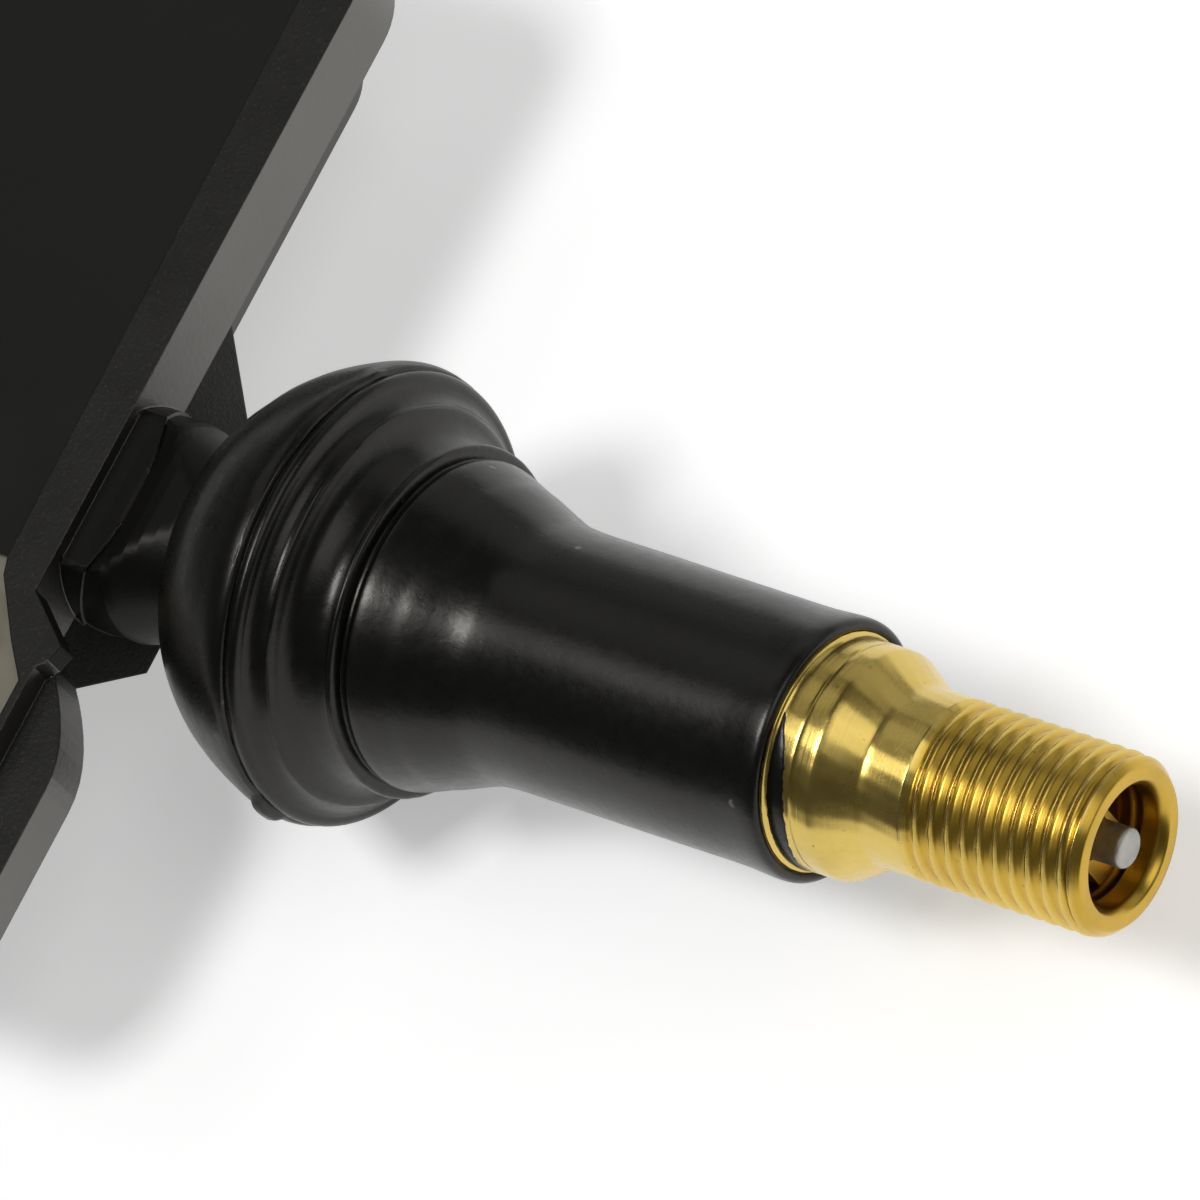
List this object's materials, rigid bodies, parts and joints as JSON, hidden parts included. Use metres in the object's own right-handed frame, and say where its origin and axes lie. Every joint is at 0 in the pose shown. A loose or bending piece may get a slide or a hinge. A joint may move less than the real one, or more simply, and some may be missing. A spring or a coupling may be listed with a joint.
{
  "type": "tyre pressure sensor",
  "caption": "Tyre pressure sensor: black electronics housing with cover and cast resin, on a rubber covered brass snap-in valve.",
  "frame": {"origin": "on the valve axis, in the middle of the rubber groove that sits in the wheel rim", "axes": "+X along the valve towards its mouth, +Z towards the open face of the housing with its cover, +Y towards the far end of the housing"},
  "size_m": [0.082, 0.052, 0.0202],
  "materials": {
    "brass": "turned, satin",
    "core_brass": "turned",
    "rubber": "moulded, satin",
    "black_seal": "plain",
    "white_seal": "smooth",
    "pin_steel": "drawn",
    "spring_steel": "drawn wire",
    "screw_steel": "plated",
    "housing": "fine moulded grain",
    "cover": "smooth",
    "resin": "cast, translucent",
    "board": "solder mask",
    "cell_can": "plated can",
    "strip_metal": "tinned",
    "chip_black": "moulded",
    "grey_silicone": "soft",
    "ferrite": "sintered",
    "copper_wire": "enamelled wire",
    "crystal_can": "plated can",
    "ceramic": "fired",
    "ceramic_white": "fired"
  },
  "bodies": {
    "sensor": {"brass_stem": "brass", "rubber_sleeve": "rubber", "core_plug": "core_brass", "core_barrel": "core_brass", "core_gasket": "white_seal", "core_spring": "spring_steel", "retaining_screw": "screw_steel", "screw_washer": "screw_steel", "housing_tray": "housing", "cover_plate": "cover", "potting": "resin", "circuit_board": "board", "coin_cell": "cell_can", "positive_strip": "strip_metal", "negative_strip": "strip_metal", "sensor_chip": "chip_black", "port_grommet": "grey_silicone", "port_filter": "white_seal", "coil_core": "ferrite", "coil_winding": "copper_wire", "rf_antenna": "strip_metal", "crystal": "crystal_can", "capacitors": "ceramic", "resistors": "chip_black", "radio_filter": "ceramic_white"},
    "valve_pin": {"core_pin": "pin_steel", "core_cup": "core_brass", "cup_seal": "black_seal"}
  },
  "joints": [
    {"name": "pin_slide", "type": "slide", "parent": "sensor", "child": "valve_pin", "axis": [-1, 0, 0], "range_m": [0, 0.0016], "stiffness_N_per_m": 900, "springref_m": -0.002, "deforming": ["core_spring"]}
  ]
}
